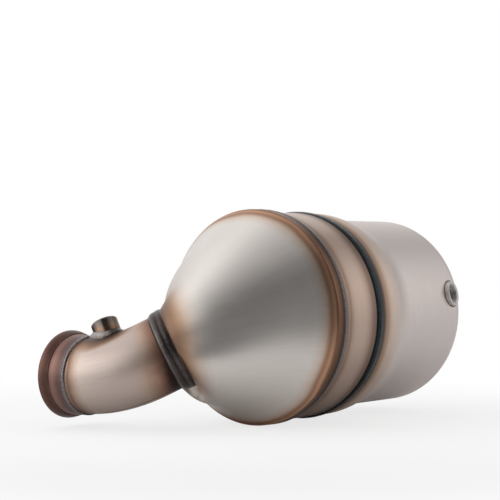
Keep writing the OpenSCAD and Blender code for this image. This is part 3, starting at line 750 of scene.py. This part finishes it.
# catalyst ring: satin stainless gone straw all over, with thin brown lines beside both welds
catalyst = {"wall": 1.5, "socket": 8, "weld": 5, "sides": 240}
ringSteel = {"stretch": (1.0, 0.04, 0.04), "streak": 1.2, "tone": (0.94, 1.02), "smooth": 0.34, "rough": 0.42,
             "relief": 0.05, "depth": 0.05}
ringTint = {"patch": 30, "swing": 0.8, "from": 6, "to": 48, "stops": (
    (0.0, "#6e5f57"), (1.0, "#74655c"), (0.05, "#86766b"), (0.1, "#9c8576"), (0.14, "#8c7465"),
    (0.2, "#aa9080"), (0.28, "#b8a294"), (0.4, "#bea89a"), (0.62, "#bea89a"), (0.74, "#b19b8e"),
    (0.82, "#a0887b"), (0.88, "#897062"), (0.94, "#806c5f"))}
strawRing = rolledSheet("strawTintedStainless", ringSteel, ringTint)
ringInside = ringRadius - catalyst["wall"]
bm = lathe([(ringRadius, -catalyst["socket"]), (ringRadius, jointAt), (ringInside, jointAt),
            (ringInside, -catalyst["socket"])], catalyst["sides"], closed=True)
finishPiece(placed(bm, onCan), "catalystShell", strawRing, ["doc_shell"])

# cone weld: a thin grey bead that fills the step at the cone's rim
coneBead = {"from": (cone["rimRadius"], 0), "to": (ringRadius, 6), "crown": 0.8, "peak": 0.6, "points": 8,
            "foot": 87.6, "steps": 1440, "pitch": 2.2, "depth": 0.2}
ringWeld(coneBead, onCan, "coneWeld", grayWeld, ["cone_weld"])

# shell weld: the wide blue-black bead over the joint of the two shells
shellBead = {"from": (ringRadius, jointAt - catalyst["weld"]), "to": (ringRadius, jointAt + catalyst["weld"]),
             "crown": 2.6, "peak": 0.5, "points": 12, "foot": 87.6, "steps": 1440, "pitch": 2.6,
             "depth": 0.18}
ringWeld(shellBead, onCan, "shellWeld", blackWeld, ["shell_weld"])


# filter shell: matt satin stainless, warm light grey. A thin brown line and straw fade beside the wide weld
canSteel = {"patch": 35, "stretch": (1.0, 0.05, 0.05), "streak": 1.4, "tone": (0.95, 1.02), "smooth": 0.46,
            "rough": 0.56, "relief": 0.05, "depth": 0.05}
canTint = {"patch": 35, "swing": 0.8, "from": 58, "to": 100, "stops": (
    (0.0, "#474241"), (1.0, "#d8cfcb"), (0.05, "#665b54"), (0.1, "#967e6e"), (0.14, "#a98f7d"),
    (0.18, "#ac907d"), (0.24, "#c4ac9b"), (0.32, "#cebbae"), (0.48, "#d2c2b8"), (0.66, "#d6c9c2"),
    (0.85, "#d7cdc8"))}
satinCan = rolledSheet("mattSatinStainless", canSteel, canTint)
bm = lathe([(ringRadius, jointAt), (ringRadius, can["taperFrom"]), (can["radius"], can["taperTo"]),
            (can["radius"], can["corner"]), (can["collarRadius"], can["collarFrom"]),
            (can["collarRadius"], can["collarTo"])], can["sides"])
roundCorner(bm, ringRadius, can["taperFrom"], can["taperRound"], can["taperSteps"])
roundCorner(bm, can["radius"], can["taperTo"], can["taperRound"], can["taperSteps"])
roundCorner(bm, can["radius"], can["corner"], can["shoulder"], can["shoulderSteps"])
roundCorner(bm, can["collarRadius"], can["collarFrom"], can["collarRound"], can["collarSteps"])
bmesh.ops.recalc_face_normals(bm, faces=bm.faces[:])
bmesh.ops.solidify(bm, geom=bm.faces[:], thickness=can["wall"] * mm)
filterShell = finishPiece(placed(bm, onCan), "filterShell", satinCan, ["dpf_shell"])
cutHole(filterShell, rearPlace, {"radius": 11.35, "low": -14, "high": 3, "sides": 96})


# rear sensor boss: turned bar in plain grey, low over the shell, with its tapped bore
rearBoss = {"radius": 11.25, "length": 10, "chamfer": 0.6, "minor": 8.25, "major": 9.0, "pitch": 1.5,
            "threadTo": 9, "tip": 8.25, "sides": 128, "sharp": 25}
rearBar = {"patch": 4, "mark": 0.5, "smooth": 0.4, "rough": 0.52, "relief": 0.1, "depth": 0.04}
plainBar, tree, shader = newMaterial("turnedBarPlain")
rise = addNode(tree, "Attribute", attribute_name="rise")
place = addNode(tree, "TexCoord")
cloud = addNode(tree, "TexNoise", {
    "Vector": place.outputs["Object"], "Detail": 3.0, "Scale": 1 / (rearBar["patch"] * mm)})
barTone = addNode(tree, "ValToRGB", {"Fac": cloud}, stops=((noiseLow, "#c4c0be"), (noiseHigh, "#d6d2d0")))
toolMarks = addNode(tree, "TexNoise", {
    "Vector": rise.outputs["Vector"], "Detail": 2.0, "Scale": 1 / (rearBar["mark"] * mm)})
metalFinish(tree, shader, barTone, rearBar, toolMarks)
finishPiece(threadedBoss(rearPlace, rearBoss, None), "rearSensorBoss", plainBar,
            ["rear_sensor_boss"], rearBoss["sharp"])

# its weld: a low wash, brown in a thin line at the boss and plain at its outer toe
washWeld = weldMetal({"name": "brownEdgedWeldWash", "crest": "#c2b6af", "valley": "#b4a69d", "rough": 0.42,
                      "along": 0.3, "streak": 1.6,
                      "toes": ((0.0, "#5a4a42"), (1.0, "#ffffff"), (0.25, "#7d6759"), (0.5, "#cbb09d"),
                               (0.75, "#f0e4dc"))})
rearWeld = {"radius": 11.25, "leg": 1.2, "legWide": 1.3, "crown": 0.5, "climb": 0.5, "depth": 0.08,
            "widest": 180, "ripples": 40, "sides": 280}
finishPiece(filletWeld(rearPlace, rearWeld, canReach), "rearBossWeld", washWeld,
            ["rear_boss_weld"], weldSharp)


# outlet pipe: satin tube that steps down to a sized end, straw beside its weld
outlet = {"radius": 27, "wall": 1.5, "step": 0.5, "weld": 4, "lip": 0.4, "lipSteps": 3, "sides": 160}
outletSteel = {"stretch": (0.05, 1.0, 1.0), "streak": 1.0, "tone": (0.93, 1.03), "smooth": 0.32,
               "rough": 0.42, "relief": 0, "depth": 0.05}
outletTint = {"patch": 30, "swing": 0, "from": 225, "to": 245, "stops": (
    (0.0, "#6e5a4e"), (1.0, "#c6beb8"), (0.15, "#a8876c"), (0.35, "#cbb69e"), (0.6, "#c8beb6"))}
outletTube = rolledSheet("satinOutletTube", outletSteel, outletTint)
stepFrom = can["collarTo"] + outlet["weld"] + outlet["wall"]
stepTo = stepFrom + 2 * outlet["step"]
sized = outlet["radius"] - outlet["step"]
inside = outlet["radius"] - outlet["wall"]
sizedInside = sized - outlet["wall"]
bm = lathe([(inside, can["collarFrom"]), (outlet["radius"], can["collarFrom"]), (outlet["radius"], stepFrom),
            (sized, stepTo), (sized, outletEnd), (sizedInside, outletEnd), (sizedInside, stepTo),
            (inside, stepFrom)], outlet["sides"], closed=True)
for radius in (sized, sizedInside):
    roundCorner(bm, radius, outletEnd, outlet["lip"], outlet["lipSteps"])
finishPiece(placed(bm, onCan), "outletPipe", outletTube, ["outlet_pipe"])

# outlet weld: a grey fillet over the collar's edge
outletBead = {"from": (can["collarRadius"], can["collarTo"]),
              "to": (outlet["radius"], can["collarTo"] + outlet["weld"]), "crown": 0.8, "peak": 0.6,
              "points": 8, "foot": 26.6, "steps": 720, "pitch": 1.7, "depth": 0.18}
ringWeld(outletBead, onCan, "outletWeld", grayWeld, ["outlet_weld"])


# inner nodes keep their solids and get porous finishes: node, dark, pale, roughness and grit in mm, which is
# coarser than real pores and fibres, since those are too fine to show
inner = {"cordieriteHoneycomb": ("doc_brick", "#cfc4ab", "#ddd4bf", 0.9, 3.0),
         "siliconCarbideHoneycomb": ("dpf_segments", "#4b4e50", "#5f6264", 0.75, 2.0),
         "ceramicCement": ("dpf_cement", "#8b8780", "#a09b93", 0.92, 2.5),
         "needledFibreMat": ("doc_mat", "#ded9cb", "#efebe0", 0.98, 1.2),
         "needledFibreMatRear": ("dpf_mat", "#ded9cb", "#efebe0", 0.98, 1.2)}
pore = {"relief": 0.4, "depth": 0.2}
for name, (node, dark, pale, rough, grit) in inner.items():
    porous, tree, shader = newMaterial(name)
    place = addNode(tree, "TexCoord")
    pores = addNode(tree, "TexNoise", {
        "Vector": place.outputs["Object"], "Scale": 1 / (grit * mm), "Detail": 4.0})
    tone = addNode(tree, "ValToRGB", {"Fac": pores}, stops=((noiseLow, dark), (noiseHigh, pale)))
    relief = addNode(tree, "Bump", {
        "Height": pores, "Strength": pore["relief"], "Distance": pore["depth"] * mm})
    plug(tree, shader, {"Base Color": tone, "Normal": relief, "Roughness": rough})
    frame["nodes"][node].data.materials.clear()
    frame["nodes"][node].data.materials.append(porous)
print("inner finishes ready")


# floor: pale matt paper that keeps the shadow near the part, lights it softly from below and fades to white;
# toward the camera the sheet turns dark grey, a painted shade that the metal reflects
floor = {"reach": 8, "under": 0.2, "centre": (-0.09, 0.12, 0), "paper": "#f0f0f0", "paintedShadeFar": "#8a8a8a",
         "rough": 0.95, "gloss": 0.1, "nearFade": 0.24, "farFade": 0.52, "lift": 0.76, "glow": 0.16,
         "glowFrom": -0.02, "glowTo": 0.07, "glowFade": 0.1, "paperEnd": 0.5}
bm = bmesh.new()
bmesh.ops.create_grid(bm, x_segments=1, y_segments=1, size=floor["reach"])
bmesh.ops.translate(bm, verts=bm.verts[:], vec=(0, 0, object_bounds()[0].z - floor["under"] * mm))
mesh = bpy.data.meshes.new("floor")
bm.to_mesh(mesh)
bm.free()
sweep = bpy.data.objects.new("floor", mesh)
bpy.context.scene.collection.objects.link(sweep)
paper, tree, shader = newMaterial("mattWhitePaper")
place = addNode(tree, "TexCoord")
centred = addNode(tree, "Mapping", {"Vector": place.outputs["Object"], "Location": floor["centre"]})
nearer = addNode(tree, "VectorMath", {0: centred, 1: -cameraWay}, operation="DOT_PRODUCT")
glow = addNode(tree, "MapRange", {
    "Value": nearer.outputs["Value"], "From Min": floor["glowFrom"], "From Max": floor["glowTo"],
    "To Max": floor["glow"]}, interpolation_type="SMOOTHSTEP")
ends = addNode(tree, "MapRange", {
    "Value": nearer.outputs["Value"], "From Min": floor["glowFade"], "From Max": floor["paperEnd"],
    "To Min": 1.0, "To Max": 0.0}, interpolation_type="SMOOTHSTEP")
lit = addNode(tree, "Math", {0: glow, 1: ends}, operation="MULTIPLY")
# painted shade: away from the part, toward the camera, the sheet's colour turns dark grey; it shows mostly in
# the metal's reflections
sheet = addNode(tree, "Mix", {
    0: ends, 6: linear(floor["paintedShadeFar"]), 7: linear(floor["paper"])}, data_type="RGBA")
path = addNode(tree, "LightPath")
unseen = addNode(tree, "Math", {0: 1.0, 1: path.outputs["Is Camera Ray"]}, operation="SUBTRACT")
bounce = addNode(tree, "Math", {0: lit, 1: unseen}, operation="MULTIPLY")
plug(tree, shader, {
    "Base Color": sheet.outputs[2], "Emission Strength": bounce, "Emission Color": (1, 1, 1, 1),
    "Roughness": floor["rough"], "Specular IOR Level": floor["gloss"]})
away = addNode(tree, "VectorMath", {0: centred}, operation="LENGTH")
fade = addNode(tree, "MapRange", {
    "Value": away.outputs["Value"], "From Min": floor["nearFade"], "From Max": floor["farFade"],
    "To Min": floor["lift"]}, interpolation_type="SMOOTHSTEP")
shown = addNode(tree, "Math", {0: path.outputs["Is Camera Ray"], 1: fade}, operation="MULTIPLY")
white = addNode(tree, "Emission", {"Strength": 1.0})
mix = addNode(tree, "MixShader", {0: shown, 1: shader, 2: white})
plug(tree, tree.nodes["Material Output"], {"Surface": mix})
mesh.materials.append(paper)

# studio: a white backdrop, pale walls by heading, rise and level, softboxes by heading, rise, size and watts
walls = {"behind": (39, 8, 0.47), "behindLeft": (79, 8, 0.32), "left": (159, 8, 0.50),
         "front": (-121, 8, 0.16), "rightFront": (-81, 8, 0.34), "right": (-41, 8, 0.76),
         "backHigh": (39, 42, 0.28), "leftBackHigh": (84, 42, 0.38), "leftHigh": (124, 30, 0.88),
         "rightHigh": (-51, 42, 0.44), "ceilingLeft": (129, 75, 0.44), "ceilingRight": (-51, 75, 0.32)}
softboxes = {"leftSoftbox": (159, 14, 1.5, 8.2), "backSoftbox": (39, 45, 1.4, 1.5)}
studio = {"edge": 48, "core": 8, "aim": (0.15, -0.11, 0.05), "reach": 1.55, "dropFrom": 0.8, "dropTo": 0.97}
world = bpy.data.worlds.new("studio")
bpy.context.scene.world = world
world.use_nodes = True
tree = world.node_tree
place = addNode(tree, "TexCoord")
room = 0.0
for heading, rise, level in walls.values():
    toward = addNode(tree, "VectorMath", {
        0: place.outputs["Generated"], 1: headingWay(heading, rise)}, operation="DOT_PRODUCT")
    wall = addNode(tree, "MapRange", {
        "Value": toward.outputs["Value"], "To Max": level, "From Min": math.cos(math.radians(studio["edge"])),
        "From Max": math.cos(math.radians(studio["core"]))}, interpolation_type="SMOOTHSTEP")
    room = addNode(tree, "Math", {0: wall, 1: room}, operation="ADD")
path = addNode(tree, "LightPath")
ahead = addNode(tree, "VectorMath", {0: place.outputs["Generated"], 1: cameraWay}, operation="DOT_PRODUCT")
backdrop = addNode(tree, "MapRange", {
    "Value": ahead.outputs["Value"], "From Min": studio["dropFrom"], "From Max": studio["dropTo"]},
    interpolation_type="SMOOTHSTEP")
mirrored = addNode(tree, "Math", {0: path.outputs["Is Glossy Ray"], 1: backdrop}, operation="MULTIPLY")
white = addNode(tree, "Math", {0: path.outputs["Is Camera Ray"], 1: mirrored}, operation="MAXIMUM")
level = addNode(tree, "Mix", {0: white, 2: room, 3: 1.0})
plug(tree, tree.nodes["Background"], {"Strength": level, "Color": (1, 1, 1, 1)})
for name, (heading, rise, size, watts) in softboxes.items():
    lamp = bpy.data.objects.new(name, bpy.data.lights.new(name, "AREA"))
    lamp.data.shape = "SQUARE"
    lamp.data.size = size
    lamp.data.energy = watts
    lamp.location = Vector(studio["aim"]) + headingWay(heading, rise) * studio["reach"]
    lamp.rotation_euler = (-headingWay(heading, rise)).to_track_quat("-Z", "Y").to_euler()
    bpy.context.scene.collection.objects.link(lamp)
print("stage ready")
